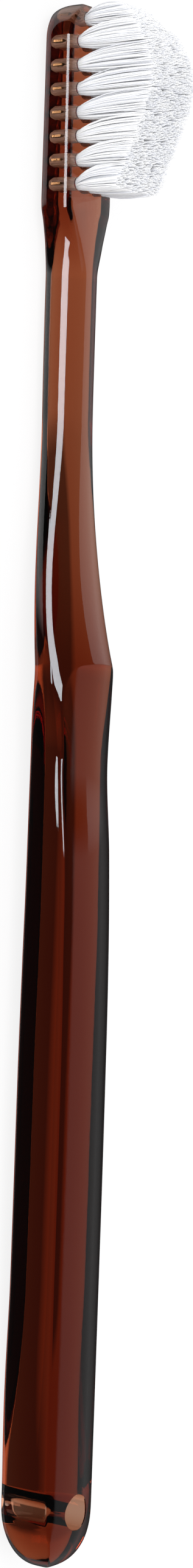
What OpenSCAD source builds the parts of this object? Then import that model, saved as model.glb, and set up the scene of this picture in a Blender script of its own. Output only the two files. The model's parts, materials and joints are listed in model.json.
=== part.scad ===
// Manual toothbrush with a clear handle, lying on its back with the bristles up.
// X runs from the head tip (low X) to the tail, Y across, and Z up through the thickness.
// The origin is under the middle of the length, on the surface that the flat back rests on.

/* [Overall] */
// Length from the head tip to the tail
brush_len = 180; // [165:1:210]

/* [Head] */
// Length of the head, from its tip to the shoulder
head_len = 22.4; // [22.2:0.2:26]
// Width of the head
head_w = 8.6; // [8.2:0.1:11]
// Thickness of the head at its tip
head_tip_t = 4.75; // [4.6:0.05:5.6]
// Thickness of the head at the shoulder
head_t = 5.15; // [4.8:0.05:6]
// Length over which the shoulder narrows to the neck
shoulder_len = 8.8; // [6:0.2:14]
// Length over which the outline of the head tip rounds off
tip_round = 4.2; // [2.6:0.1:6]

/* [Neck] */
// Length of the straight part of the neck
neck_len = 15.8; // [8:0.2:24]
// Width of the neck
neck_w = 5.65; // [5:0.05:8]
// Thickness of the neck where it leaves the shoulder
neck_t = 5.45; // [4.8:0.05:6.6]

/* [Grip] */
// Length over which the neck swells up to the crest, the ridge above the thumb rest
rise_len = 28.5; // [20:0.5:36]
// Width at the crest
crest_w = 10.4; // [8.4:0.1:12]
// Thickness at the crest
crest_t = 8.9; // [8.7:0.05:9.8]
// Distance from the crest to the lowest point of the thumb rest
thumb_len = 11.5; // [8:0.5:16]
// Width beside the thumb rest
thumb_w = 8.9; // [8.4:0.1:10.4]
// Thickness at the lowest point of the thumb rest
thumb_t = 8.3; // [7.6:0.05:8.6]
// Width of the grip
grip_w = 9.1; // [8.4:0.1:11]
// Thickness of the grip
grip_t = 9.6; // [8.8:0.05:11]
// Length over which the outline of the tail rounds off
tail_round = 8; // [5:0.2:10]

/* [Hanging hole] */
// Diameter of the hanging hole
hang_d = 4.15; // [3:0.05:5]
// Distance from the tail to the middle of the hanging hole
hang_inset = 7; // [6:0.1:14]

/* [Bristles] */
// Rows of tufts along the head; the first row has one tuft less than the others
tuft_rows = 8; // [4:1:8]
// Tufts side by side in a full row
tuft_columns = 3; // [2:1:3]
// Distance from one row to the next
row_pitch = 2.7; // [2.3:0.05:2.7]
// Distance from one column to the next
column_pitch = 2.35; // [2.2:0.05:2.5]
// Distance from the head tip to the first row
first_row = 2; // [1.9:0.05:2.3]
// Diameter of a tuft hole
tuft_d = 1.6; // [1.2:0.05:1.7]
// Depth of a tuft hole at its full diameter
tuft_depth = 3.3; // [2.4:0.05:3.35]
// Length of the longest bristles above the head
bristle_len = 11.1; // [8:0.1:13]
// How much shorter the bristles of the first row are
tip_row_drop = 4.2; // [0:0.1:5]
// How much shorter the bristles of the last row are
neck_row_drop = 4.4; // [0:0.1:5]
// Radius of a tuft at the ends of its bristles
tuft_flare = 1.16; // [0.9:0.02:1.18]

/* [Anchors] */
// Length of an anchor, whose ends bite into both sides of the hole
anchor_len = 1.95; // [1.75:0.05:2.1]
// Thickness of an anchor
anchor_t = 0.25; // [0.15:0.05:0.35]
// Height of an anchor
anchor_h = 1.2; // [0.8:0.1:1.4]

/* [Hidden] */
// Gap between a tuft or an anchor and what holds it
fit = 0.04;
// How far a cutting tool runs past what it cuts
over = 1;

// How far before the crest the grip reaches its width there
crest_lead = 1;
// Length over which the facet rises from the thumb rest to the thickness of the grip
thumb_rise_len = 53;
// Distances from the head tip at which the form changes
neck_from = head_len + shoulder_len;
neck_to = neck_from + neck_len;
crest_at = neck_to + rise_len;
swell_at = crest_at - crest_lead;
thumb_at = crest_at + thumb_len;
thumb_to = thumb_at + thumb_len;
full_at = thumb_to + thumb_len;
tail_at = brush_len - tail_round;
even_to = tail_at - 2.75 * tail_round;

// The facet on the front of the grip: how much it cuts off, and the radius of its crown
facet_cut = 2.2;
facet_crown_r = 8;
// How far the round back would reach below its flat, as a share of the height above it
back_cut_share = 0.02;

// Height of the widest line of the section, as shares of the height of the section
tip_mid_share = 0.63;
head_mid_share = 0.53;
crest_mid_share = 0.56;
thumb_mid_share = 0.56;
grip_mid_share = 0.58;
tail_mid_share = 0.52;
end_mid_share = 0.41;

// Exponents of the section's curves, front and back, from the head to the tail
head_front_power = 5.5;
head_back_power = 3;
neck_front_power = 2.4;
neck_back_power = 2.65;
crest_front_power = 1.9;
crest_back_power = 2.7;
thumb_back_power = 4;
grip_front_power = 3.7;
grip_back_power = 5;
tail_front_power = 3.5;
tail_back_power = 2.6;

// The shoulder, as shares of its length and of what it loses in width
shoulder_shares = [[0, 0], [0.12, 0.03], [0.28, 0.3], [0.6, 0.73], [1, 1]];
// The swelling up to the crest: share of a straight slope in it, and power of the rest
slope_share = 0.02;
rise_power = 4.5;
// Past the crest, the length and power of the curve along which the round front goes on rising
crown_len = 36;
crown_power = 1.25;
// The facet from before the crest to the thumb rest, as shares of that length and drop
crest_shares = [[-0.2, 2.7], [0, 1], [0.05, 0.74], [0.3, 0.38], [1, 0]];
// The facet from the thumb rest down the grip, as shares of that length and rise
thumb_shares = [[0, 0], [0.2, 0.54], [0.4, 0.82], [0.6, 0.94], [1, 1]];

// The back's low arch between the two places that the brush lies on, the head and the tail:
// its height, and the shares of that height along the way from the neck to the tail
arch_h = 1.3;
arch_shares = [[0, 0], [0.3, 0.6], [0.4, 0.95], [0.5, 1], [0.65, 0.86], [0.82, 0.82], [1, 0]];

// Lengths over which the thickness rounds off at the two ends
tip_edge_len = 1.6;
tail_edge_len = 6.6;
// Share of the thickness and half the width that are left at the very ends
end_share = 0.08;
nose = 0.3;

// Steps across half a facet, round its side and round its back, and along each stretch
facet_steps = 4;
side_steps = 7;
back_steps = 7;
tip_steps = 8;
head_steps = 4;
shoulder_steps = 9;
neck_steps = 3;
rise_steps = 11;
crest_steps = 8;
thumb_steps = 6;
grip_steps = 9;
tail_steps = 12;
// Half the stretch at the crest where the sections stand close together
crest_near = 3;
// Highest angles from the widest line at which the round front starts and the round back
// ends, and how many times the span is halved to find where the front meets the facet
arris_angle = 70;
flat_angle = 86;
meet_steps = 24;
// Facets of a full circle
$fn = 32;

// The tufts: radii, the foot of the fold, and the slice that the strands are fused to
hole_r = tuft_d / 2;
plug_r = hole_r - fit;
loop_share = 0.7;
loop_r = plug_r * loop_share;
loop_h = 0.6;
slice = 0.6;
// Room under an anchor, and its place above the foot of the hole
anchor_gap = 0.3;
anchor_z = anchor_gap - tuft_depth;
// Rings of the lattice that the strands stand on
strand_rings = 4;
lattice_side = 2 * strand_rings + 1;
ring_steps = [[1, 0], [0, 1], [-1, 1], [-1, 0], [0, -1], [1, -1]];
span = [-strand_rings : strand_rings];
// How far the tips of the outer columns lean outwards, and those of the first and the last
// row towards the head tip
lean_across = 0.62;
tip_row_lean = 0.6;
neck_row_lean = 0.5;
// The longest row and the last one, and the powers of the curves of the trimmed ends
peak_row = 3;
peak_at = first_row + peak_row * row_pitch;
last_row = first_row + (tuft_rows - 1) * row_pitch;
tip_dome_power = 2.2;
neck_dome_power = 1.25;

// Where the tufts stand: row and column number, distance from the tip, place across
function row_count(row) = row == 0 ? tuft_columns - 1 : tuft_columns;
tufts = [for (row = [0 : tuft_rows - 1]) for (column = [0 : row_count(row) - 1])
    [row, column, first_row + row * row_pitch, (column - (row_count(row) - 1) / 2) * column_pitch]];
function tuft_name(kind, t) = str(kind, "_r", t[0] + 1, "_c", t[1] + 1);

function clamp(v) = min(max(v, 0), 1);
function mix(a, b, t) = a + (b - a) * t;

// A smooth curve through rows of [place, value] that keeps level ends and never overshoots
function place_of(rows, s) = max([for (i = [0 : len(rows) - 2]) if (i == 0 || s >= rows[i][0]) i]);
function secant(rows, i) =
    i < 0 || i > len(rows) - 2 ? 0 : (rows[i + 1][1] - rows[i][1]) / (rows[i + 1][0] - rows[i][0]);
function tangent(rows, i) =
    let(a = secant(rows, i - 1), b = secant(rows, i))
    a * b <= 0 ? 0 : 2 * a * b / (a + b);
function smooth(rows, s) =
    let(
        i = place_of(rows, s),
        h = rows[i + 1][0] - rows[i][0],
        t = clamp((s - rows[i][0]) / h),
        a = t * t * (3 - 2 * t)
    )
    mix(rows[i][1], rows[i + 1][1], a)
    + h * t * (1 - t) * ((1 - t) * tangent(rows, i) - t * tangent(rows, i + 1));

// Share of a size that is left at a distance d from an end that rounds off over a length
function left_at(d, length, power) = pow(1 - pow(1 - clamp(d / length), power), 1 / power);

// The section at a distance s from the head tip
function neck_share(s) = smooth(shoulder_shares, (s - head_len) / shoulder_len);
width_rows = [
    [neck_to, neck_w],
    [swell_at, crest_w],
    [crest_at, crest_w],
    [thumb_at, thumb_w],
    [thumb_to, thumb_w],
    [full_at, grip_w]
];
function full_width(s) =
    s < neck_to ? mix(head_w, neck_w, neck_share(s)) : smooth(width_rows, s);
function half_width(s) =
    max(full_width(s) / 2 * left_at(s, tip_round, 2) * left_at(brush_len - s, tail_round, 2), nose);

function head_front(s) = mix(head_tip_t, head_t, s / head_len);
function rise(u) = slope_share * u + (1 - slope_share) * pow(u, rise_power);
// Height of the round front before the facet is cut
function front(s) =
    s < head_len ? head_front(s)
    : s < neck_from ? mix(head_t, neck_t, neck_share(s))
    : s < crest_at ? mix(neck_t, crest_t, rise((s - neck_from) / (neck_len + rise_len)))
    : mix(crest_t, grip_t + facet_cut, left_at(s - crest_at, crown_len, crown_power));
// Height of the facet along its middle
function facet(s) =
    s < thumb_at ? mix(thumb_t, crest_t, smooth(crest_shares, (s - crest_at) / thumb_len))
    : mix(thumb_t, grip_t, smooth(thumb_shares, (s - thumb_at) / thumb_rise_len));
mid_rows = [
    [0, tip_mid_share],
    [tip_round, head_mid_share],
    [neck_to, head_mid_share],
    [crest_at, crest_mid_share],
    [thumb_at, thumb_mid_share],
    [full_at, grip_mid_share],
    [even_to, grip_mid_share],
    [tail_at, tail_mid_share],
    [brush_len, end_mid_share]
];
// Height of the back above the surface that the brush lies on
function arch(s) = arch_h * smooth(arch_shares, (s - neck_from) / (tail_at - neck_from));
front_rows = [
    [neck_from, neck_front_power],
    [neck_to, neck_front_power],
    [crest_at, crest_front_power],
    [thumb_at, grip_front_power],
    [even_to, grip_front_power],
    [tail_at, tail_front_power]
];
function front_power(s) =
    s < neck_from ? mix(head_front_power, neck_front_power, neck_share(s)) : smooth(front_rows, s);
back_rows = [
    [neck_from, neck_back_power],
    [neck_to, neck_back_power],
    [crest_at, crest_back_power],
    [thumb_at, thumb_back_power],
    [full_at, grip_back_power],
    [even_to, grip_back_power],
    [tail_at, tail_back_power]
];
function back_power(s) =
    s < neck_from ? mix(head_back_power, neck_back_power, sqrt(neck_share(s))) : smooth(back_rows, s);

// Share of the thickness that is left where the two ends close
function thick_share(s) =
    mix(end_share, 1, left_at(s, tip_edge_len, 2) * left_at(brush_len - s, tail_edge_len, 2));

// A point of a superellipse at an angle from its widest line
function oval(a, half_w, half_t, power) =
    [half_w * pow(cos(a), 2 / power), half_t * pow(sin(a), 2 / power)];
// The angle at which the round front passes through the facet
function meet(low, high, half_w, half_t, power, top, n) =
    n == 0 ? low
    : let(
        a = (low + high) / 2,
        p = oval(a, half_w, half_t, power),
        above = p[1] > top - p[0] * p[0] / (2 * facet_crown_r)
    )
    above ? meet(low, a, half_w, half_t, power, top, n - 1)
    : meet(a, high, half_w, half_t, power, top, n - 1);

function section(s) =
    let(
        base = arch(s),
        z = (front(s) - base) * smooth(mid_rows, s),
        half_w = half_width(s),
        round_t = (front(s) - base - z) * thick_share(s),
        back_t = z * (1 + back_cut_share) * thick_share(s),
        power = front_power(s),
        top = (facet(s) - base - z) * thick_share(s),
        a = min(meet(0, 90, half_w, round_t, power, top, meet_steps), arris_angle),
        arris = oval(a, half_w, round_t, power),
        // The angle at which the round back comes down to its flat
        flat_a = min(asin(pow(min(z / back_t, 1), back_power(s) / 2)), flat_angle),
        half = concat(
            [for (i = [0 : facet_steps - 1])
                let(y = arris[0] * i / facet_steps, b = acos(pow(y / half_w, power / 2)))
                [y, min(top - y * y / (2 * facet_crown_r), oval(b, half_w, round_t, power)[1])]],
            [for (i = [0 : side_steps - 1]) oval(a * (1 - i / side_steps), half_w, round_t, power)],
            [for (i = [0 : back_steps])
                let(p = oval(flat_a * i / back_steps, half_w, back_t, back_power(s))) [p[0], -p[1]]]
        ),
        other = [for (i = [len(half) - 1 : -1 : 1]) [-half[i][0], half[i][1]]]
    )
    [for (p = concat(half, other)) [s - brush_len / 2, p[0], base + max(z + p[1], 0)]];

// Distances at which the sections stand, close together where the form turns
function spread(a, b, n) = [for (i = [0 : n - 1]) a + (b - a) * i / n];
stations = concat(
    [for (i = [0 : tip_steps - 1]) tip_round * (1 - cos(90 * i / tip_steps))],
    spread(tip_round, head_len, head_steps),
    spread(head_len, neck_from, shoulder_steps),
    spread(neck_from, neck_to, neck_steps),
    spread(neck_to, crest_at - crest_near, rise_steps),
    spread(crest_at - crest_near, crest_at + crest_near, crest_steps),
    spread(crest_at + crest_near, thumb_to, thumb_steps),
    spread(thumb_to, tail_at, grip_steps),
    [for (i = [0 : tail_steps]) brush_len - tail_round * (1 - sin(90 * i / tail_steps))]
);

function centre(ring) = [for (k = [0 : 2]) (min([for (p = ring) p[k]]) + max([for (p = ring) p[k]])) / 2];

module handle_loft() {
    rings = [for (s = stations) section(s)];
    count = len(rings[0]);
    last = len(rings) - 1;
    walls = [for (k = [0 : last - 1]) for (i = [0 : count - 1])
        let(j = (i + 1) % count, a = k * count + i, b = k * count + j)
        each [[a, b, b + count], [a, b + count, a + count]]];
    // Each end closes as a fan round a point in the middle of its last section
    points = concat([for (r = rings) for (p = r) p], [centre(rings[0]), centre(rings[last])]);
    first = len(points) - 2;
    caps = [for (i = [0 : count - 1]) let(j = (i + 1) % count)
        each [[first, j, i], [first + 1, last * count + i, last * count + j]]];
    polyhedron(points, concat(walls, caps), convexity = 6);
}

module at_tuft(t) {
    translate([t[2] - brush_len / 2, t[3], head_front(t[2])]) children();
}

module tuft_hole() {
    translate([0, 0, -tuft_depth]) cylinder(h = tuft_depth + over, r = hole_r);
    translate([0, 0, -tuft_depth - loop_h]) cylinder(h = loop_h + fit, r = loop_r + fit);
    anchor_room();
}

// The space that an anchor takes, with its fit all round
module anchor_room() {
    translate([-anchor_t / 2 - fit, -anchor_len / 2 - fit, anchor_z - fit])
        cube([anchor_t + 2 * fit, anchor_len + 2 * fit, anchor_h + 2 * fit]);
}

// Head, neck and grip, moulded in one piece of clear resin
module handle() {
    color([0.42, 0.2, 0.12, 0.75])
    difference() {
        handle_loft();
        translate([brush_len / 2 - hang_inset, 0, -over])
            cylinder(h = grip_t + 2 * over, d = hang_d);
        for (t = tufts) at_tuft(t) tuft_hole();
    }
}

// Hexagonal lattice of points, drawn out into circles, on which the strands stand.
// Every third of its upright triangles is the foot of a strand, so no two strands touch.
function ring_of(i, j) = max(abs(i), abs(j), abs(i + j));
function inside(i, j) = ring_of(i, j) <= strand_rings;
function spot(i, j) =
    let(p = [i + j / 2, j * sqrt(3) / 2], k = ring_of(i, j))
    k == 0 ? [0, 0] : p / norm(p) * k / strand_rings;
function index(i, j) = (i + strand_rings) * lattice_side + j + strand_rings;
function upright(i, j) = inside(i, j) && inside(i + 1, j) && inside(i, j + 1);
function inverted(i, j) = inside(i, j) && inside(i + 1, j) && inside(i + 1, j - 1);
function has_strand(i, j) = upright(i, j) && (i - j + 3 * lattice_side) % 3 == 0;

// How much shorter than the longest bristles they are at a distance s from the tip
function trim(s) =
    let(d = s - peak_at)
    d < 0 ? tip_row_drop * pow(clamp(-d / (peak_at - first_row)), tip_dome_power)
    : neck_row_drop * pow(clamp(d / (last_row - peak_at)), neck_dome_power);

// Where a lattice point ends up at the tips of tuft t, which leans outwards and to the head tip
function tip_spot(t, p) =
    let(
        x = tuft_flare * p[0] - mix(tip_row_lean, neck_row_lean, t[0] / (tuft_rows - 1)),
        y = lean_across * t[3] / column_pitch + tuft_flare * p[1],
        s = t[2] + x
    )
    [x, y, bristle_len - trim(s) + head_front(s) - head_front(t[2])];

module strands(t) {
    feet = [for (i = span) for (j = span) plug_r * [each spot(i, j), 0]];
    tips = [for (i = span) for (j = span) tip_spot(t, spot(i, j))];
    rim = [for (c = [0 : 5]) for (k = [0 : strand_rings - 1])
        strand_rings * ring_steps[c] + k * ring_steps[(c + 2) % 6]];
    base = [for (q = rim) let(p = plug_r * spot(q[0], q[1])) [p[0], p[1], -slice]];
    top = len(feet);
    low = 2 * top;
    between = concat(
        [for (i = span) for (j = span) if (upright(i, j) && !has_strand(i, j))
            [index(i, j), index(i, j + 1), index(i + 1, j)]],
        [for (i = span) for (j = span) if (inverted(i, j))
            [index(i, j), index(i + 1, j), index(i + 1, j - 1)]]
    );
    shafts = [for (i = span) for (j = span) if (has_strand(i, j))
        let(f = [index(i, j), index(i, j + 1), index(i + 1, j)])
        each concat(
            [[f[0] + top, f[1] + top, f[2] + top]],
            [for (k = [0 : 2]) let(a = f[k], b = f[(k + 1) % 3])
                each [[a, b, b + top], [a, b + top, a + top]]]
        )];
    wall = [for (k = [0 : len(rim) - 1])
        let(m = (k + 1) % len(rim), a = index(rim[k][0], rim[k][1]), b = index(rim[m][0], rim[m][1]))
        each [[b, a, low + k], [b, low + k, low + m]]];
    under = [for (k = [0 : len(rim) - 1]) low + k];
    polyhedron(concat(feet, tips, base), concat(between, shafts, wall, [under]), convexity = 10);
}

// One tuft: filaments folded in two round their anchor, filling the hole
module tuft(t) {
    color([0.93, 0.94, 0.96])
    at_tuft(t)
    difference() {
        union() {
            strands(t);
            translate([0, 0, -tuft_depth + fit])
                cylinder(h = tuft_depth - fit - slice / 2, r = plug_r - fit);
            translate([0, 0, -tuft_depth - loop_h + fit]) cylinder(h = loop_h + fit, r = loop_r);
        }
        anchor_room();
    }
}

// One anchor: a short length of flat wire that holds the fold at the foot of its hole
module anchor(t) {
    color([0.82, 0.62, 0.28])
    at_tuft(t)
        translate([-anchor_t / 2, -anchor_len / 2, anchor_z])
            cube([anchor_t, anchor_len, anchor_h]);
}

handle();
for (t = tufts) tuft(t);
for (t = tufts) anchor(t);
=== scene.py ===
"""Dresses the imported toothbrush: a clear amber handle, nylon tufts and brass anchors on a pale stage."""

import json
import math
import random

import bpy
import numpy as np
from bpy.props import FloatProperty, FloatVectorProperty, IntProperty, PointerProperty
from mathutils import Matrix, Vector


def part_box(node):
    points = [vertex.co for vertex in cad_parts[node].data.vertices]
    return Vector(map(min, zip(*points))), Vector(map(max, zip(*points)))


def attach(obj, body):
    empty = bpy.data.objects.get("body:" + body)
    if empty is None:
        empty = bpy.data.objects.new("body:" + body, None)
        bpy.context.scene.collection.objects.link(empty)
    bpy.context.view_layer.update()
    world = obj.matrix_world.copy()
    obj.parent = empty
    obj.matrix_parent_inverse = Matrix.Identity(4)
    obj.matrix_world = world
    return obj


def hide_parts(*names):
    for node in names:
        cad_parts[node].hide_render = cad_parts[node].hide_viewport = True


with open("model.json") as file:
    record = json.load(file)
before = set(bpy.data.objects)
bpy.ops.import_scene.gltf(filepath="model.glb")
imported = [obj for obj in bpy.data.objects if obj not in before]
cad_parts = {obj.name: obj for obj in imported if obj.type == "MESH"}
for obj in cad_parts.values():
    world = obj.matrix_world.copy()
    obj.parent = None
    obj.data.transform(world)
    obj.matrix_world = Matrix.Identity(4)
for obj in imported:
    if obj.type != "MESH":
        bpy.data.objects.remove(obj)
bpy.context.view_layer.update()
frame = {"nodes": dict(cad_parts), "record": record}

bl_info = {
    "name": "Manual toothbrush",
    "version": (1, 0, 0),
    "blender": (4, 5, 0),
    "location": "3D View > Sidebar > Toothbrush",
    "description": "Builds a clear toothbrush's handle and tufts, finishes its anchors and sets a stage",
    "category": "Object",
}

MM = 0.001
SEED = 7

# The frame: the brush rests on its back with its head towards -X
handle_low, handle_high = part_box("handle")
brush_len = handle_high.x - handle_low.x
tip_x = handle_low.x
tuft_names = sorted(n for n in frame["nodes"] if n.startswith("tuft_"))
anchor_names = sorted(n for n in frame["nodes"] if n.startswith("anchor_"))
hanging_hole = next(m for m in frame["record"]["mounts"] if m["name"] == "hanging_hole")


# Settings


def length(name, description, default):
    return FloatProperty(
        name=name, description=description, default=default, min=0.0, precision=5, unit="LENGTH"
    )


def share(name, description, default):
    return FloatProperty(
        name=name, description=description, default=default, min=0.0, max=1.0, subtype="FACTOR"
    )


def colour(name, description, default):
    return FloatVectorProperty(
        name=name, description=description, default=default, min=0.0, max=1.0, size=4, subtype="COLOR"
    )


class HandleSettings(bpy.types.PropertyGroup):
    """Sizes of the moulded handle and the looks of its resin."""

    head_length: length("Head length", "From the tip to the start of the shoulders", 22.4 * MM)
    head_width: length("Head width", "Across the head", 8.6 * MM)
    tip_height: length("Tip height", "Height of the head at its tip", 4.75 * MM)
    head_height: length("Head height", "Height of the head at its shoulders", 5.15 * MM)
    shoulder_length: length("Shoulder length", "Where the head narrows into the neck", 8.8 * MM)
    tip_round: length("Tip rounding", "Length over which the tip rounds off", 4.2 * MM)
    neck_length: length("Neck length", "The straight neck", 15.8 * MM)
    neck_width: length("Neck width", "Across the neck", 5.65 * MM)
    neck_height: length("Neck height", "Height of the neck at its start", 5.45 * MM)
    rise_length: length("Rise length", "From the neck to the crest before the thumb rest", 28.5 * MM)
    crest_width: length("Crest width", "Across the crest", 10.4 * MM)
    crest_height: length("Crest height", "Height of the crest", 8.9 * MM)
    thumb_length: length("Thumb rest length", "From the crest to the lowest place", 11.5 * MM)
    thumb_width: length("Thumb rest width", "Across the waist beside the thumb rest", 8.9 * MM)
    thumb_height: length("Thumb rest height", "Height at its lowest place", 8.3 * MM)
    grip_width: length("Grip width", "Across the grip", 9.1 * MM)
    grip_height: length("Grip height", "Height of the grip", 9.6 * MM)
    tail_round: length("Tail rounding", "Length over which the tail rounds off", 8 * MM)
    arris_round: length("Arris rounding", "How far the arrises beside the facet are eased", 0.2 * MM)
    seam_height: length("Seam height", "How far the mould's parting line stands proud", 0.03 * MM)
    resin_tint: colour("Resin tint", "What the resin lets through", (0.7, 0.3, 0.04, 1.0))
    resin_depth: FloatProperty(
        name="Resin depth", description="How strongly the resin tints, per metre", default=600.0, min=0.0
    )
    resin_gloss: share("Resin roughness", "Least roughness of the resin", 0.012)


class TuftSettings(bpy.types.PropertyGroup):
    """Sizes of the tufts and the looks of their nylon."""

    filaments: IntProperty(
        name="Filaments", description="Filaments in one tuft", default=150, min=8, max=240
    )
    filament_width: length("Filament width", "Thickness of one filament", 0.155 * MM)
    tuft_width: length("Tuft width", "Width of a tuft's hole", 1.6 * MM)
    tuft_depth: length("Tuft depth", "Depth of a tuft's hole", 3.3 * MM)
    bristle_length: length(
        "Bristle length", "The longest bristles, from the face of the head", 11.1 * MM
    )
    tip_drop: length("Drop at the tip", "How much shorter the row at the tip is", 4.2 * MM)
    neck_drop: length("Drop at the neck", "How much shorter the row at the neck is", 4.4 * MM)
    flare: length("Flare", "Half the width of a tuft at its tips", 1.45 * MM)
    nylon: colour("Nylon", "Colour of the bristles", (0.95, 0.955, 0.975, 1.0))


class AnchorSettings(bpy.types.PropertyGroup):
    """Looks of the flat wire that holds each tuft."""

    brass: colour("Brass", "Colour of the anchor wire", (0.84, 0.68, 0.42, 1.0))


class StageSettings(bpy.types.PropertyGroup):
    """The floor, the room's even light and the camera."""

    floor_size: length("Floor size", "Side of the square floor", 6.0)
    floor_colour: colour("Floor colour", "Colour of the floor", (0.88, 0.88, 0.89, 1.0))
    white_share: share("White share", "How much of the floor shows plain white", 0.85)
    room_light: FloatProperty(
        name="Room light",
        description="Even light that matt surfaces get from all round",
        default=0.92,
        min=0.0,
    )
    camera_distance: length("Camera distance", "From the brush's axis to the camera", 0.374)
    camera_elevation: FloatProperty(
        name="Camera elevation",
        description="Angle of the camera above the floor",
        default=math.radians(35.4),
        subtype="ANGLE",
    )
    camera_roll: FloatProperty(
        name="Camera roll",
        description="Turn of the picture",
        default=math.radians(1.99),
        subtype="ANGLE",
    )


# Curves


def clamp(v):
    return min(max(v, 0.0), 1.0)


def mix(a, b, t):
    return a + (b - a) * t


def quarter_turn(steps, first):
    """Even angles up to a right angle, from the numbered step."""
    return [math.pi / 2 * i / steps for i in range(first, steps + 1)]


def smooth(rows, s):
    """A smooth curve through rows of (place, value) that keeps level ends and never overshoots."""

    def secant(k):
        if k < 0 or k > len(rows) - 2:
            return 0.0
        return (rows[k + 1][1] - rows[k][1]) / (rows[k + 1][0] - rows[k][0])

    def tangent(k):
        a, b = secant(k - 1), secant(k)
        return 0.0 if a * b <= 0 else 2 * a * b / (a + b)

    i = max(k for k in range(len(rows) - 1) if k == 0 or s >= rows[k][0])
    step = rows[i + 1][0] - rows[i][0]
    t = clamp((s - rows[i][0]) / step)
    bend = (1 - t) * tangent(i) - t * tangent(i + 1)
    return mix(rows[i][1], rows[i + 1][1], t * t * (3 - 2 * t)) + step * t * (1 - t) * bend


def left_at(d, over, power):
    """Share of a size that is left at a distance d from an end that rounds off over a length."""
    return (1 - (1 - clamp(d / over)) ** power) ** (1 / power)


def oval(a, half_w, half_t, power):
    """Points of a superellipse at angles from its widest line."""
    y = half_w * np.maximum(np.cos(a), 0.0) ** (2 / power)
    z = half_t * np.maximum(np.sin(a), 0.0) ** (2 / power)
    return np.stack([y, z], axis=-1)


# The handle


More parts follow.
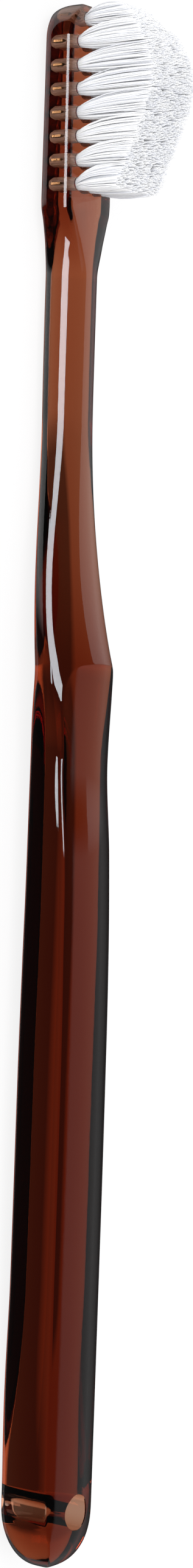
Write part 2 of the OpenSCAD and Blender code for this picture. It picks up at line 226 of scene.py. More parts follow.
class HandleForm:
    """The handle's shape: its section at each distance s from the head tip."""

    # The ends: their least half width and thickness, and how far their edges round off
    nose = 0.3 * MM
    end_share = 0.08
    tip_edge = 1.6 * MM
    tail_edge = 6.6 * MM

    # Distances from the tip, and how far before the crest the full width is reached
    crest_lead = 1 * MM
    thumb_to = 98.5 * MM
    full_at = 110 * MM
    belly_to = 150 * MM

    # The rise to the crest, and the round front that swells behind it and is cut by the facet
    slope_share = 0.02
    rise_power = 4.5
    crown_length = 36 * MM
    crown_power = 1.25
    facet_cut = 2.2 * MM
    facet_crown_r = 8 * MM
    thumb_rise = 53 * MM

    # Share of the height at which the widest line runs
    tip_mid = 0.63
    head_mid = 0.53
    crest_mid = 0.56
    grip_mid = 0.58
    tail_mid = 0.52
    end_mid = 0.41

    # The powers of the round front and the round back
    head_powers = (8.0, 3.0)
    neck_powers = (2.4, 2.65)
    crest_powers = (1.9, 2.05)
    thumb_powers = (3.7, 4)
    grip_powers = (3.7, 5)
    tail_powers = (3.5, 2.6)

    # Curves as rows of (share of the way, share of the change)
    arch_height = 1.3 * MM
    arch_shares = ((0, 0), (0.3, 0.6), (0.4, 0.95), (0.5, 1), (0.65, 0.86), (0.82, 0.82), (1, 0))
    shoulder_shares = ((0, 0), (0.12, 0.03), (0.28, 0.3), (0.6, 0.73), (1, 1))
    crest_shares = ((-0.2, 2.7), (0, 1), (0.05, 0.74), (0.3, 0.38), (1, 0))
    thumb_shares = ((0, 0), (0.2, 0.54), (0.4, 0.82), (0.6, 0.94), (1, 1))

    # How a section is drawn: the most that its two cuts take, and the points on each stretch
    arris_angle = math.radians(70)
    flat_angle = math.radians(89)
    halvings = 40
    facet_steps = 14
    arris_steps = 3
    side_steps = 24
    back_steps = 22
    flat_steps = 4

    def __init__(self, settings):
        h = self.sizes = settings
        self.neck_from = h.head_length + h.shoulder_length
        self.neck_to = self.neck_from + h.neck_length
        self.crest_at = self.neck_to + h.rise_length
        self.swell_at = self.crest_at - self.crest_lead
        self.thumb_at = self.crest_at + h.thumb_length
        self.tail_at = brush_len - h.tail_round
        self.width_rows = (
            (self.neck_to, h.neck_width),
            (self.swell_at, h.crest_width),
            (self.crest_at, h.crest_width),
            (self.thumb_at, h.thumb_width),
            (self.thumb_to, h.thumb_width),
            (self.full_at, h.grip_width),
        )
        self.mid_rows = (
            (0, self.tip_mid),
            (h.tip_round, self.head_mid),
            (self.neck_to, self.head_mid),
            (self.crest_at, self.crest_mid),
            (self.thumb_at, self.crest_mid),
            (self.full_at, self.grip_mid),
            (self.belly_to, self.grip_mid),
            (self.tail_at, self.tail_mid),
            (brush_len, self.end_mid),
        )

    def neck_share(self, s):
        return smooth(self.shoulder_shares, (s - self.sizes.head_length) / self.sizes.shoulder_length)

    def half_width(self, s):
        h = self.sizes
        if s < self.neck_to:
            full = mix(h.head_width, h.neck_width, self.neck_share(s))
        else:
            full = smooth(self.width_rows, s)
        ends = left_at(s, h.tip_round, 2) * left_at(brush_len - s, h.tail_round, 2)
        return max(full / 2 * ends, self.nose)

    def head_front(self, s):
        return mix(self.sizes.tip_height, self.sizes.head_height, s / self.sizes.head_length)

    def front(self, s):
        """Height of the round front before the facet is cut."""
        h = self.sizes
        if s < h.head_length:
            return self.head_front(s)
        if s < self.neck_from:
            return mix(h.head_height, h.neck_height, self.neck_share(s))
        if s < self.crest_at:
            u = (s - self.neck_from) / (h.neck_length + h.rise_length)
            rise = self.slope_share * u + (1 - self.slope_share) * u**self.rise_power
            return mix(h.neck_height, h.crest_height, rise)
        crown = left_at(s - self.crest_at, self.crown_length, self.crown_power)
        return mix(h.crest_height, h.grip_height + self.facet_cut, crown)

    def arch(self, s):
        """How high the back stands between the two places that the brush rests on."""
        way = (s - self.neck_from) / (self.tail_at - self.neck_from)
        return self.arch_height * smooth(self.arch_shares, way)

    def facet(self, s):
        """Height of the facet along its middle."""
        h = self.sizes
        if s < self.thumb_at:
            left = smooth(self.crest_shares, (s - self.crest_at) / h.thumb_length)
            return mix(h.thumb_height, h.crest_height, left)
        risen = smooth(self.thumb_shares, (s - self.thumb_at) / self.thumb_rise)
        return mix(h.thumb_height, h.grip_height, risen)

    def powers(self, s):
        """The powers of the round front and the round back."""
        if s < self.neck_from:
            t = self.neck_share(s)
            kinds = zip(self.head_powers, self.neck_powers, (t, math.sqrt(t)))
            return [mix(head, neck, way) for head, neck, way in kinds]
        rows = (
            (self.neck_from, self.neck_powers),
            (self.neck_to, self.neck_powers),
            (self.crest_at, self.crest_powers),
            (self.thumb_at, self.thumb_powers),
            (self.full_at, self.grip_powers),
            (self.belly_to, self.grip_powers),
            (self.tail_at, self.tail_powers),
        )
        return [smooth([(at, kind[i]) for at, kind in rows], s) for i in range(2)]

    def crown(self, y, top):
        """Height of the gently crowned facet at a place across."""
        return top - y * y / (2 * self.facet_crown_r)

    def arris(self, half_w, half_t, power, top):
        """The angle at which the round front passes through the facet."""
        low, high = 0.0, math.pi / 2
        for _ in range(self.halvings):
            a = (low + high) / 2
            y, z = oval(a, half_w, half_t, power)
            low, high = (low, a) if z > self.crown(y, top) else (a, high)
        return min(low, self.arris_angle)

    def front_points(self, half_w, half_t, power, top):
        """The facet, its eased arris and the round side down to the widest line."""
        a = self.arris(half_w, half_t, power, top)
        corner = oval(a, half_w, half_t, power)

        # The facet, up to where its arris is eased
        ease = min(self.sizes.arris_round, corner[0] / 4)
        y = np.linspace(0, corner[0] - ease, self.facet_steps)
        beside = np.arccos(np.clip((y / half_w) ** (power / 2), 0, 1))
        under = oval(beside, half_w, half_t, power)[:, 1]
        facet = np.stack([y, np.minimum(self.crown(y, top), under)], axis=-1)

        # The eased arris, a short curve from the facet to the round side
        nudge = 0.001
        speed = np.linalg.norm(corner - oval(a - nudge, half_w, half_t, power)) / nudge
        side_a = max(a - ease / max(speed, 1e-9), a / 2)
        start = oval(side_a, half_w, half_t, power)
        t = np.linspace(0, 1, self.arris_steps + 2)[1:-1, None]
        eased = (1 - t) ** 2 * facet[-1] + 2 * t * (1 - t) * corner + t**2 * start

        side = oval(side_a * np.linspace(1, 0, self.side_steps), half_w, half_t, power)
        return facet, eased, side

    def back_points(self, half_w, half_t, power, depth):
        """The round back below the widest line, and the flat that cuts it at a depth."""
        flat_a = min(math.asin(min(depth / half_t, 1) ** (power / 2)), self.flat_angle)
        back = oval(flat_a * np.linspace(0, 1, self.back_steps)[1:], half_w, half_t, power)
        back[:, 1] *= -1
        inwards = np.linspace(1, 0, self.flat_steps + 1)[1:]
        flat = back[-1] * np.stack([inwards, np.ones(self.flat_steps)], -1)
        return back, flat

    def section(self, s):
        """Half of the section, from the middle of the front round to the middle of the back."""
        h = self.sizes
        base = self.arch(s)
        z = (self.front(s) - base) * smooth(self.mid_rows, s)
        half_w = self.half_width(s)
        edges = left_at(s, self.tip_edge, 2) * left_at(brush_len - s, self.tail_edge, 2)
        thick = mix(self.end_share, 1, edges)
        front_power, back_power = self.powers(s)
        front_t = (self.front(s) - base - z) * thick
        top = (self.facet(s) - base - z) * thick
        front = self.front_points(half_w, front_t, front_power, top)
        back = self.back_points(half_w, z * thick, back_power, z)
        half = np.concatenate([*front, *back])
        half[:, 1] = np.maximum(half[:, 1] + z, 0) + base

        # The mould's parting line stands a little proud at the widest line
        widest = self.facet_steps + self.arris_steps + self.side_steps - 1
        half[widest, 0] += h.seam_height * min(1, half_w / h.head_width * 2)
        return half

    def stations(self):
        """Distances at which the sections stand, close together where the form turns."""
        h = self.sizes
        # From, to, and how many sections between
        spread = [
            (h.tip_round, h.head_length, 40),
            (h.head_length, self.neck_from, 36),
            (self.neck_from, self.swell_at - self.crest_lead, 60),
            (self.swell_at - self.crest_lead, self.thumb_at, 90),
            (self.thumb_at, self.full_at, 50),
            (self.full_at, self.tail_at, 90),
        ]
        end_steps = 26
        turn = quarter_turn(end_steps, 0)[:-1]
        tip = [h.tip_round * (1 - math.cos(a)) for a in turn]
        body = [a + (b - a) * i / n for a, b, n in spread for i in range(n)]
        tail = [brush_len - h.tail_round * (1 - math.sin(a)) for a in turn] + [brush_len]
        return tip + body + tail


def mesh_of(name, points, faces, material):
    mesh = bpy.data.meshes.new(name)
    mesh.from_pydata([tuple(p) for p in points], [], faces)
    mesh.materials.append(material)
    mesh.update()
    return mesh


def piece_of(name, mesh):
    piece = bpy.data.objects.new(name, mesh)
    bpy.context.scene.collection.objects.link(piece)
    return piece


def ring_walls(first, count, rings):
    """Quads between rings of points that follow one another."""
    return [
        (a + i, a + (i + 1) % count, a + count + (i + 1) % count, a + count + i)
        for a in range(first, first + (rings - 1) * count, count)
        for i in range(count)
    ]


def handle_mesh(form, material):
    """The closed outside of the handle, before its holes."""
    rings = []
    for s in form.stations():
        half = form.section(s)
        round_it = np.concatenate([half, half[-2:0:-1] * (-1, 1)])
        rings.append(np.insert(round_it, 0, tip_x + s, axis=1))
    count = len(rings[0])
    middles = [(r.max(0) + r.min(0)) / 2 for r in (rings[0], rings[-1])]
    points = np.concatenate([*rings, middles])
    last = (len(rings) - 1) * count
    faces = ring_walls(0, count, len(rings))
    for i in range(count):
        j = (i + 1) % count
        faces.append((len(points) - 2, j, i))
        faces.append((len(points) - 1, last + i, last + j))
    return mesh_of("resin_handle", points, faces, material)


def turned(points, faces, axis_at, profile, steps):
    """Adds a closed turned form round a line along Z. profile is (radius, height) from foot to top."""
    first = len(points)
    for r, z in profile:
        for i in range(steps):
            a = 2 * math.pi * i / steps
            points.append((axis_at[0] + r * math.cos(a), axis_at[1] + r * math.sin(a), axis_at[2] + z))
    faces += ring_walls(first, steps, len(profile))
    faces.append(tuple(range(first + steps - 1, first - 1, -1)))
    top = first + (len(profile) - 1) * steps
    faces.append(tuple(range(top, top + steps)))


def holes_mesh(form, tufts, material):
    """What is cut from the handle: the hanging hole and the mouth of each tuft's hole."""
    points, faces = [], []
    # How far the cutters stand past the surfaces that they cut
    over = 1 * MM

    # The hanging hole, with its two rims eased
    x, y, _ = hanging_hole["pos_m"]
    r = hanging_hole["dims"]["r_mm"] * MM
    ease, ease_steps = 0.16 * MM, 5
    face = form.facet(x - tip_x)
    rim = [
        (r + ease * (1 - math.cos(a)), ease * (math.sin(a) - 1))
        for a in quarter_turn(ease_steps, 0)
    ]
    above = [(radius, face + z) for radius, z in rim] + [(r + ease, face + over)]
    below = [(radius, -z) for radius, z in reversed(rim)]
    turned(points, faces, (x, y, 0), [(r + ease, -over)] + below + above, steps=96)

    # The mouths of the tufts' holes, shallow hollows with eased rims. Below them the filaments
    # stand in the resin with no air round them
    hole_r = tufts.tuft_width / 2
    foot, bowl_depth, mouth = -0.35 * MM, 0.1 * MM, 0.05 * MM
    bowl_steps = 6
    bowl = [
        (hole_r * math.sin(a), foot - bowl_depth * math.cos(a))
        for a in quarter_turn(bowl_steps, 1)
    ]
    top = [(hole_r, -mouth), (hole_r + mouth, 0), (hole_r + mouth, over)]
    for name in anchor_names:
        low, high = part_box(name)
        x, y = (low.x + high.x) / 2, (low.y + high.y) / 2
        face = form.head_front(x - tip_x)
        turned(points, faces, (x, y, face), bowl + top, steps=40)
    return mesh_of("holes", points, faces, material)


def cut_away(piece, cutter):
    """Cuts one piece by another, which is then removed."""
    cut = piece.modifiers.new("holes", "BOOLEAN")
    cut.object, cut.operation, cut.solver = cutter, "DIFFERENCE", "EXACT"
    graph = bpy.context.evaluated_depsgraph_get()
    graph.update()
    mesh = bpy.data.meshes.new_from_object(piece.evaluated_get(graph))
    piece.modifiers.clear()
    piece.data = mesh
    bpy.data.objects.remove(cutter)


# The tufts


class Tufts:
    """Where the filaments of each tuft run."""

    # The trim: the longest row, and the powers of its curves towards the tip and the neck
    peak_row = 3
    dome_powers = (2.2, 1.25)

    # How far the tips lean: the outer columns outwards, the first and last rows along the brush
    lean_across = 0.62 * MM
    lean_along = (-0.1 * MM, -0.5 * MM)

    # How unevenly the tips lie, as standard deviations, and the most that a tuft stands out
    splay_scatter = 0.07
    tip_scatter = 0.05 * MM
    bow_scatter = 0.09 * MM
    tuft_scatter = 0.06 * MM

    # The fold below the anchor, and what the filaments clear beside it
    fold_share = 0.62
    fold_taper = 0.7
    fold_drop = 0.32 * MM
    fold_bend = 0.12 * MM
    fold_rise = 0.16 * MM
    hole_clear = 0.02 * MM
    half_plate = 0.125 * MM
    beside_plate = 0.94
    over_plate = 0.5 * MM

    # How each filament is drawn: its sides, its levels above the head, how soon it leans out and
    # its width at both ends
    sides = 5
    levels = (0.08, 0.2, 0.4, 0.62, 0.84, 0.98, 1.0)
    spread_power = 3
    fold_width = 0.8
    tip_width = 0.62

    def __init__(self, settings, form):
        self.sizes = settings
        self.form = form
        self.at = {}
        for tuft, anchor in zip(tuft_names, anchor_names):
            low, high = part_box(anchor)
            self.at[tuft] = ((low.x + high.x) / 2 - tip_x, (low.y + high.y) / 2, low.z, high.z)
        self.rows = sorted({round(s, 6) for s, _, _, _ in self.at.values()})
        self.peak_at = self.rows[self.peak_row]
        self.half_span = max(abs(y) for _, y, _, _ in self.at.values())

    def trim(self, s):
        """How much shorter than the longest bristles they are at a distance from the tip."""
        first, last = self.rows[0], self.rows[-1]
        tip_power, neck_power = self.dome_powers
        d = s - self.peak_at
        if d < 0:
            return self.sizes.tip_drop * (-d / (self.peak_at - first)) ** tip_power
        return self.sizes.neck_drop * (d / (last - self.peak_at)) ** neck_power

    def lean(self, s, y):
        """How far the tips of the tuft at a place lean along and across."""
        row = (s - self.rows[0]) / (self.rows[-1] - self.rows[0])
        return mix(*self.lean_along, row), self.lean_across * y / self.half_span


def filament_paths(tufts, name, rng):
    """One tuft's filaments, each a list of (point, share of the width) from the fold to the tip."""
    t = tufts.sizes
    s, y, anchor_low, anchor_high = tufts.at[name]
    face = tufts.form.head_front(s)
    radius = t.filament_width / 2
    root_r = t.tuft_width / 2 - radius - tufts.hole_clear
    lean_x, lean_y = tufts.lean(s, y)
    golden = math.pi * (3 - math.sqrt(5))
    turn = rng.uniform(0, 2 * math.pi)
    stands_out = rng.uniform(-tufts.tuft_scatter, tufts.tuft_scatter)
    foot = -t.tuft_depth - tufts.fold_drop
    plate = tufts.half_plate + radius
    paths = []
    for k in range(t.filaments):
        ring = math.sqrt((k + 0.5) / t.filaments)
        angle = turn + k * golden
        px, py = ring * math.cos(angle), ring * math.sin(angle)
        # The tufts press each other into rounded squares, which close the gaps between four of them
        square = (math.cos(angle) ** 4 + math.sin(angle) ** 4) ** -0.25
        splay = t.flare * square * (1 + rng.gauss(0, tufts.splay_scatter))
        end_x = lean_x + splay * px + rng.gauss(0, tufts.tip_scatter)
        end_y = lean_y + splay * py + rng.gauss(0, tufts.tip_scatter)
        end_z = t.bristle_length - tufts.trim(s + end_x) + tufts.form.head_front(s + end_x) - face
        end_z += stands_out + rng.gauss(0, tufts.tip_scatter)
        bow = np.array([rng.gauss(0, tufts.bow_scatter), rng.gauss(0, tufts.bow_scatter)])
        root = np.array([px, py]) * root_r
        end = np.array([end_x, end_y])

        # Beside the anchor the filaments stand clear of its plate
        clear = plate + abs(root[0]) * (1 - plate / root_r)
        beside = np.array([math.copysign(clear, root[0]), root[1] * tufts.beside_plate])
        fold = root * tufts.fold_share
        path = [
            (fold * tufts.fold_taper, foot + ring * tufts.fold_bend, tufts.fold_width),
            (fold, foot + tufts.fold_rise, 1.0),
            (beside, anchor_low - face, 1.0),
            (beside, anchor_high - face, 1.0),
            (root, anchor_high - face + tufts.over_plate, 1.0),
            (root, 0.0, 1.0),
        ]
        for level in tufts.levels:
            spread = 1 - (1 - level) ** tufts.spread_power
            at = root + (end - root) * spread + bow * math.sin(math.pi * level)
            path.append((at, end_z * level, tufts.tip_width if level == 1.0 else 1.0))
        paths.append([((tip_x + s + p[0], y + p[1], face + z), w) for p, z, w in path])
    return paths


def tuft_mesh(tufts, name, material, rng):
    """All filaments of a tuft, with a tone for each."""
    radius = tufts.sizes.filament_width / 2
    points, faces, tones = [], [], []
    for path in filament_paths(tufts, name, rng):
        first, tone = len(points), rng.random()
        turn = rng.uniform(0, math.pi)
        for (x, y, z), width in path:
            r = radius * width
            for i in range(tufts.sides):
                a = turn + 2 * math.pi * i / tufts.sides
                points.append((x + r * math.cos(a), y + r * math.sin(a), z))
            tones += [tone] * tufts.sides
        faces += ring_walls(first, tufts.sides, len(path))
        faces.append(tuple(range(first + tufts.sides - 1, first - 1, -1)))
        top = len(points) - tufts.sides
        faces.append(tuple(range(top, top + tufts.sides)))
    mesh = mesh_of(name.replace("tuft", "filaments"), points, faces, material)
    mesh.attributes.new("filament_tone", "FLOAT", "POINT").data.foreach_set("value", tones)
    return mesh


# Materials


def new_material(name):
    """A material with one Principled shader: the material, its tree, the shader and the output."""
    material = bpy.data.materials.new(name)
    material.use_nodes = True
    tree = material.node_tree
    tree.nodes.clear()
    out = tree.nodes.new("ShaderNodeOutputMaterial")
    skin = tree.nodes.new("ShaderNodeBsdfPrincipled")
    tree.links.new(skin.outputs["BSDF"], out.inputs["Surface"])
    return material, tree, skin, out


def mottle_group():
    """Soft blotches and fine grain that turn into a value between two limits."""
    name = "mottle"
    if name in bpy.data.node_groups:
        return bpy.data.node_groups[name]
    group = bpy.data.node_groups.new(name, "ShaderNodeTree")
    number = "NodeSocketFloat"
    for label, default in (("Scale", 200.0), ("Low", 0.0), ("High", 1.0), ("Stretch", 1.0)):
        socket = group.interface.new_socket(label, in_out="INPUT", socket_type=number)
        socket.default_value = default
    group.interface.new_socket("Value", in_out="OUTPUT", socket_type=number)
    nodes, links = group.nodes, group.links
    start, end = nodes.new("NodeGroupInput"), nodes.new("NodeGroupOutput")
    where = nodes.new("ShaderNodeTexCoord")
    squeeze = nodes.new("ShaderNodeCombineXYZ")
    squeeze.inputs["Y"].default_value = 1.0
    squeeze.inputs["Z"].default_value = 1.0
    along = nodes.new("ShaderNodeVectorMath")
    along.operation = "MULTIPLY"
    noise = nodes.new("ShaderNodeTexNoise")
    noise.inputs["Detail"].default_value = 4.0
    # The noise stays mostly between these two values
    span = nodes.new("ShaderNodeMapRange")
    span.inputs["From Min"].default_value = 0.3
    span.inputs["From Max"].default_value = 0.7
    links.new(start.outputs["Stretch"], squeeze.inputs[0])
    links.new(where.outputs["Object"], along.inputs[0])
    links.new(squeeze.outputs[0], along.inputs[1])
    links.new(along.outputs[0], noise.inputs["Vector"])
    links.new(start.outputs["Scale"], noise.inputs["Scale"])
    links.new(noise.outputs["Fac"], span.inputs["Value"])
    links.new(start.outputs["Low"], span.inputs["To Min"])
    links.new(start.outputs["High"], span.inputs["To Max"])
    links.new(span.outputs["Result"], end.inputs["Value"])
    return group


def mottle(tree, scale, low, high, stretch=1.0):
    """Places the mottle group and returns its value."""
    node = tree.nodes.new("ShaderNodeGroup")
    node.node_tree = mottle_group()
    values = {"Scale": scale, "Low": low, "High": high, "Stretch": stretch}
    for label, value in values.items():
        node.inputs[label].default_value = value
    return node.outputs["Value"]


def feed(tree, socket, value):
    """Sets a socket to a plain number, or links it to another node's value."""
    if isinstance(value, float):
        socket.default_value = value
    else:
        tree.links.new(value, socket)


def worked_out(tree, operation, first, second):
    """What a Math node makes of two values."""
    node = tree.nodes.new("ShaderNodeMath")
    node.operation = operation
    feed(tree, node.inputs[0], first)
    feed(tree, node.inputs[1], second)
    return node.outputs[0]


def shaded(tint, shades):
    """A colour times a shade for each of red, green and blue."""
    return [min(c * k, 1.0) for c, k in zip(tint, shades)]


def between(tree, value, first, last):
    """A colour that runs from the first to the last while a value rises from 0 to 1."""
    ramp = tree.nodes.new("ShaderNodeValToRGB")
    for stop, tint in zip(ramp.color_ramp.elements, (first, last)):
        stop.color = (*tint, 1.0)
    tree.links.new(value, ramp.inputs["Fac"])
    return ramp.outputs["Color"]


def bump(tree, skin, height, distance):
    """Feeds a height to the shader as fine relief."""
    node = tree.nodes.new("ShaderNodeBump")
    node.inputs["Distance"].default_value = distance
    tree.links.new(height, node.inputs["Height"])
    tree.links.new(node.outputs["Normal"], skin.inputs["Normal"])


def clear_resin(settings):
    """Glossy amber resin: it bends light at its skin and tints it by depth."""
    material, tree, skin, out = new_material("clear_resin")
    skin.inputs["Base Color"].default_value = (1.0, 1.0, 1.0, 1.0)
    skin.inputs["Transmission Weight"].default_value = 1.0
    skin.inputs["IOR"].default_value = 1.57
    least = settings.resin_gloss
    gloss = mottle(tree, scale=900.0, low=least, high=least * 3, stretch=0.3)
    tree.links.new(gloss, skin.inputs["Roughness"])
    ripple = mottle(tree, scale=1100.0, low=0.0, high=1.0, stretch=0.35)
    bump(tree, skin, ripple, distance=0.002 * MM)
    inside = tree.nodes.new("ShaderNodeVolumeAbsorption")
    inside.inputs["Color"].default_value = settings.resin_tint
    inside.inputs["Density"].default_value = settings.resin_depth
    tree.links.new(inside.outputs["Volume"], out.inputs["Volume"])
    return material


def bristle_nylon(settings):
    """White nylon: each filament has its own tone."""
    material, tree, skin, _ = new_material("bristle_nylon")
    tone = tree.nodes.new("ShaderNodeAttribute")
    tone.attribute_name = "filament_tone"
    darkest = shaded(settings.nylon, (0.9, 0.91, 0.94))
    palest = shaded(settings.nylon, (1.06, 1.06, 1.02))
    tint = between(tree, tone.outputs["Fac"], darkest, palest)
    tree.links.new(tint, skin.inputs["Base Color"])
    gloss = mottle(tree, scale=2600.0, low=0.28, high=0.5, stretch=0.5)
    tree.links.new(gloss, skin.inputs["Roughness"])
    skin.inputs["Subsurface Weight"].default_value = 0.15
    skin.inputs["Subsurface Radius"].default_value = (1.0, 1.0, 1.0)
    skin.inputs["Subsurface Scale"].default_value = 0.2 * MM
    return material


def anchor_brass(settings):
    """Rolled brass wire with a fine grain, a little tarnished in places."""
    material, tree, skin, _ = new_material("anchor_brass")
    bright = settings.brass[:3]
    tarnished = shaded(bright, (0.8, 0.76, 0.7))
    tint = between(tree, mottle(tree, scale=1500.0, low=0.0, high=1.0), tarnished, bright)
    tree.links.new(tint, skin.inputs["Base Color"])
    skin.inputs["Metallic"].default_value = 1.0
    gloss = mottle(tree, scale=4000.0, low=0.22, high=0.42)
    tree.links.new(gloss, skin.inputs["Roughness"])
    grain = mottle(tree, scale=6000.0, low=0.0, high=1.0)
    bump(tree, skin, grain, distance=0.004 * MM)
    return material


def seen_directly(tree):
    """1 for rays that show the backdrop: from the camera, mirrored or through clear resin."""
    path = tree.nodes.new("ShaderNodeLightPath").outputs
    indirect = worked_out(tree, "MAXIMUM", path["Is Glossy Ray"], path["Is Transmission Ray"])
    return worked_out(tree, "MAXIMUM", path["Is Camera Ray"], indirect)


def pale_floor(settings):
    """A pale matt floor that shows as white and keeps a soft shadow."""
    material, tree, skin, out = new_material("pale_floor")
    nodes, links = tree.nodes, tree.links
    skin.inputs["Roughness"].default_value = 0.9
    clean = settings.floor_colour[:3]
    worn = shaded(clean, (0.98, 0.98, 0.98))
    tint = between(tree, mottle(tree, scale=9.0, low=0.0, high=1.0), worn, clean)
    links.new(tint, skin.inputs["Base Color"])
    white = nodes.new("ShaderNodeEmission")
    part = worked_out(tree, "MULTIPLY", seen_directly(tree), settings.white_share)
    blend = nodes.new("ShaderNodeMixShader")
    links.new(part, blend.inputs["Fac"])
    links.new(skin.outputs["BSDF"], blend.inputs[1])
    links.new(white.outputs["Emission"], blend.inputs[2])
    links.new(blend.outputs["Shader"], out.inputs["Surface"])
    return material


# The stage


def picture_axes(settings):
    """The picture's right and the way to the camera, both across the brush."""
    e = settings.camera_elevation
    return Vector((0, math.sin(e), math.cos(e))), Vector((0, -math.cos(e), math.sin(e)))


def lay_floor(settings):
    """A square floor just under the brush, hidden from mirrored and refracted rays."""
    half = settings.floor_size / 2
    z = -0.25 * MM
    corners = [(-half, -half, z), (half, -half, z), (half, half, z), (-half, half, z)]
    floor = piece_of("floor", mesh_of("floor", corners, [(0, 1, 2, 3)], pale_floor(settings)))
    floor.visible_glossy = False
    floor.visible_transmission = False


def light_world(scene, settings):
    """Plain white for the camera and even light for matt surfaces. For what the resin shows and
    mirrors, a wall behind the brush and a dim room before it, each paler or darker towards the tail."""
    world = scene.world or bpy.data.worlds.new("studio")
    scene.world = world
    world.use_nodes = True
    tree = world.node_tree
    tree.nodes.clear()
    nodes, links = tree.nodes, tree.links

    def ramp(value, limits, levels):
        node = nodes.new("ShaderNodeMapRange")
        labels = ("From Min", "From Max", "To Min", "To Max")
        for label, number in zip(labels, (*limits, *levels)):
            node.inputs[label].default_value = number
        links.new(value, node.inputs["Value"])
        return node.outputs["Result"]

    def mixed(factor, first, last):
        node = nodes.new("ShaderNodeMix")
        for label, value in (("Factor", factor), ("A", first), ("B", last)):
            feed(tree, node.inputs[label], value)
        return node.outputs["Result"]

    def times(first, second):
        return worked_out(tree, "MULTIPLY", first, second)

    where = nodes.new("ShaderNodeTexCoord").outputs["Generated"]
    dot = nodes.new("ShaderNodeVectorMath")
    dot.operation = "DOT_PRODUCT"
    _, toward = picture_axes(settings)
    dot.inputs[1].default_value = -toward
    links.new(where, dot.inputs[0])
    ahead = dot.outputs["Value"]
    axes = nodes.new("ShaderNodeSeparateXYZ")
    links.new(where, axes.inputs[0])
    along, across, up = axes.outputs

    # Rays that go towards the head meet a white wall and a dark room, those towards the tail a
    # white wall and a lighter room
    whole = (0.0, 1.0)
    wall_edge = (-0.01, 0.01)
    tailward = ramp(along, (-0.1, -0.02), whole)
    head_end = ramp(ahead, wall_edge, (0.03, 1.0))
    tail_end = ramp(ahead, wall_edge, (0.25, 1.0))

    # Through the resin the wall is dimmer towards the tail, most of all above its foot, and there
    # is a pale ceiling
    fall = ramp(along, (-0.15, -0.06), (0.8, 0.6))
    above_foot = times(ramp(up, (-0.56, -0.46), whole), tailward)
    ceiling = times(times(ramp(up, (0.3, 0.5), whole), ramp(across, (-0.2, 0.0), whole)), tailward)
    through = times(mixed(tailward, head_end, tail_end), fall)
    through = times(through, ramp(above_foot, whole, (1.0, 0.32)))
    through = times(through, ramp(ceiling, whole, (1.0, 12.0)))

    # In the mirror of its surface the tail end is dark in front, and the wall straight behind dim
    mirrored = mixed(tailward, head_end, ramp(across, (0.1, 0.16), (0.04, 0.4)))
    mirrored = times(mirrored, ramp(ahead, (0.6, 0.9), (0.8, 0.1)))

    path = nodes.new("ShaderNodeLightPath").outputs
    seen = mixed(path["Is Transmission Ray"], mirrored, through)
    seen = mixed(path["Is Diffuse Ray"], seen, settings.room_light)
    seen = mixed(path["Is Camera Ray"], seen, 1.0)
    sky = nodes.new("ShaderNodeBackground")
    sky.inputs["Color"].default_value = (1.0, 1.0, 1.0, 1.0)
    out = nodes.new("ShaderNodeOutputWorld")
    links.new(seen, sky.inputs["Strength"])
    links.new(sky.outputs["Background"], out.inputs["Surface"])


def hang_lamp(name, place, target, width, height, radiance):
    """An area lamp of a given radiance, with its width along the brush."""
    lamp = bpy.data.lights.new(name, "AREA")
    lamp.shape = "RECTANGLE"
    lamp.size, lamp.size_y = width, height
    lamp.energy = radiance * math.pi * width * height
    piece = bpy.data.objects.new(name, lamp)
    bpy.context.scene.collection.objects.link(piece)
    back = (place - target).normalized()
    across = Vector((1, 0, 0))
    up = back.cross(across).normalized()
    piece.matrix_world = Matrix.Translation(place) @ Matrix((across, up, back)).transposed().to_4x4()
    return piece


def hang_lamps():
    """A strip beside the brush for its long highlight, and a soft lamp for the matt surfaces."""
    middle = Vector((0, 0, 4 * MM))

    # The strip reaches past the head and ends where the highlight does
    strip_from, strip_to = -0.16, 0.012
    strip_middle = middle + Vector(((strip_from + strip_to) / 2, 0, 0))
    angle, distance = math.radians(-85.5), 0.3
    beside = Vector((0, math.sin(angle), -math.cos(angle))) * distance
    strip = hang_lamp(
        "strip_lamp",
        place=strip_middle + beside,
        target=strip_middle,
        width=strip_to - strip_from,
        height=0.2,
        radiance=10.0,
    )
    strip.visible_diffuse = False
    strip.data.color = (0.9, 0.95, 1.0)

    above = Vector((-0.3, -0.7, 1.1))
    soft = hang_lamp("soft_lamp", above, middle, width=1.2, height=1.2, radiance=2.8)
    soft.visible_glossy = False
    soft.visible_transmission = False


def set_camera(scene, settings):
    """Looks across the brush from beside and above it, square to its length."""
    right, toward = picture_axes(settings)
    # The point in the middle of the picture, and how far the camera stands to the head side of it
    target = Vector((-0.69 * MM, 0, 0.75 * MM)) + right * 6.5 * MM
    headward = Vector((-9.8 * MM, 0, 0))
    place = target + toward * settings.camera_distance + headward
    # The length that fills the picture's height at the brush
    seen_length = 0.1816
    data = bpy.data.cameras.new("camera")
    data.sensor_width = 36
    data.lens = data.sensor_width * settings.camera_distance / seen_length
    data.clip_start, data.clip_end = 0.01, 20
    camera = bpy.data.objects.new("camera", data)
    scene.collection.objects.link(camera)
    back = (place - target).normalized()
    up = Vector((-1, 0, 0))
    across = up.cross(back).normalized()
    up = back.cross(across)
    turn = Matrix((across, up, back)).transposed() @ Matrix.Rotation(settings.camera_roll, 3, "Z")
    camera.matrix_world = Matrix.Translation(place) @ turn.to_4x4()
    scene.camera = camera


# Operators and panel


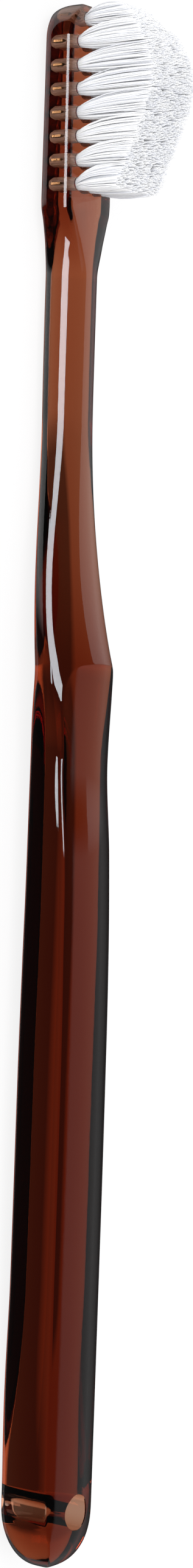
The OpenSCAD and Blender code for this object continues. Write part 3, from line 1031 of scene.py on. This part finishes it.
class TOOTHBRUSH_OT_handle(bpy.types.Operator):
    """Builds the moulded handle with its hanging hole and the mouths of the tufts' holes"""

    bl_idname = "toothbrush.handle"
    bl_label = "Build handle"

    def execute(self, context):
        settings = context.scene.toothbrush_handle
        form = HandleForm(settings)
        material = clear_resin(settings)
        piece = piece_of("resin_handle", handle_mesh(form, material))
        cutter = piece_of("holes", holes_mesh(form, context.scene.toothbrush_tufts, material))
        cut_away(piece, cutter)
        piece.data.shade_smooth()
        piece.data.set_sharp_from_angle(angle=math.radians(30))
        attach(piece, "root")
        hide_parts("handle")
        return {"FINISHED"}


class TOOTHBRUSH_OT_tufts(bpy.types.Operator):
    """Builds every tuft from single filaments that run down past its anchor"""

    bl_idname = "toothbrush.tufts"
    bl_label = "Build tufts"

    def execute(self, context):
        rng = random.Random(SEED)
        form = HandleForm(context.scene.toothbrush_handle)
        tufts = Tufts(context.scene.toothbrush_tufts, form)
        material = bristle_nylon(tufts.sizes)
        for name in tuft_names:
            mesh = tuft_mesh(tufts, name, material, rng)
            piece = piece_of(mesh.name, mesh)
            mesh.shade_smooth()
            mesh.set_sharp_from_angle(angle=math.radians(65))
            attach(piece, "root")
            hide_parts(name)
        return {"FINISHED"}


class TOOTHBRUSH_OT_anchors(bpy.types.Operator):
    """Gives every anchor its brass"""

    bl_idname = "toothbrush.anchors"
    bl_label = "Finish anchors"

    def execute(self, context):
        material = anchor_brass(context.scene.toothbrush_anchors)
        for name in anchor_names:
            node = frame["nodes"][name]
            node.data.materials.clear()
            node.data.materials.append(material)
        return {"FINISHED"}


class TOOTHBRUSH_OT_stage(bpy.types.Operator):
    """Lays the floor, hangs the lamps and sets the camera"""

    bl_idname = "toothbrush.stage"
    bl_label = "Set stage"

    def execute(self, context):
        settings = context.scene.toothbrush_stage
        context.scene.view_settings.view_transform = "Standard"
        lay_floor(settings)
        light_world(context.scene, settings)
        hang_lamps()
        set_camera(context.scene, settings)
        return {"FINISHED"}


class VIEW3D_PT_toothbrush(bpy.types.Panel):
    """Lists what builds the toothbrush"""

    bl_label = "Toothbrush"
    bl_space_type = "VIEW_3D"
    bl_region_type = "UI"
    bl_category = "Toothbrush"

    def draw(self, context):
        groups = (
            (TOOTHBRUSH_OT_handle, context.scene.toothbrush_handle),
            (TOOTHBRUSH_OT_tufts, context.scene.toothbrush_tufts),
            (TOOTHBRUSH_OT_anchors, context.scene.toothbrush_anchors),
            (TOOTHBRUSH_OT_stage, context.scene.toothbrush_stage),
        )
        for operator, settings in groups:
            box = self.layout.box()
            box.operator(operator.bl_idname)
            for key in settings.__annotations__:
                box.prop(settings, key)


SETTINGS = {
    "toothbrush_handle": HandleSettings,
    "toothbrush_tufts": TuftSettings,
    "toothbrush_anchors": AnchorSettings,
    "toothbrush_stage": StageSettings,
}
OPERATORS = (TOOTHBRUSH_OT_handle, TOOTHBRUSH_OT_tufts, TOOTHBRUSH_OT_anchors, TOOTHBRUSH_OT_stage)


def register():
    for key, group in SETTINGS.items():
        bpy.utils.register_class(group)
        setattr(bpy.types.Scene, key, PointerProperty(type=group))
    for kind in (*OPERATORS, VIEW3D_PT_toothbrush):
        bpy.utils.register_class(kind)


def unregister():
    for kind in (VIEW3D_PT_toothbrush, *reversed(OPERATORS)):
        bpy.utils.unregister_class(kind)
    for key, group in SETTINGS.items():
        delattr(bpy.types.Scene, key)
        bpy.utils.unregister_class(group)


def main():
    register()
    bpy.ops.toothbrush.stage()
    bpy.ops.toothbrush.handle()
    bpy.ops.toothbrush.tufts()
    bpy.ops.toothbrush.anchors()


if __name__ == "__main__":
    main()
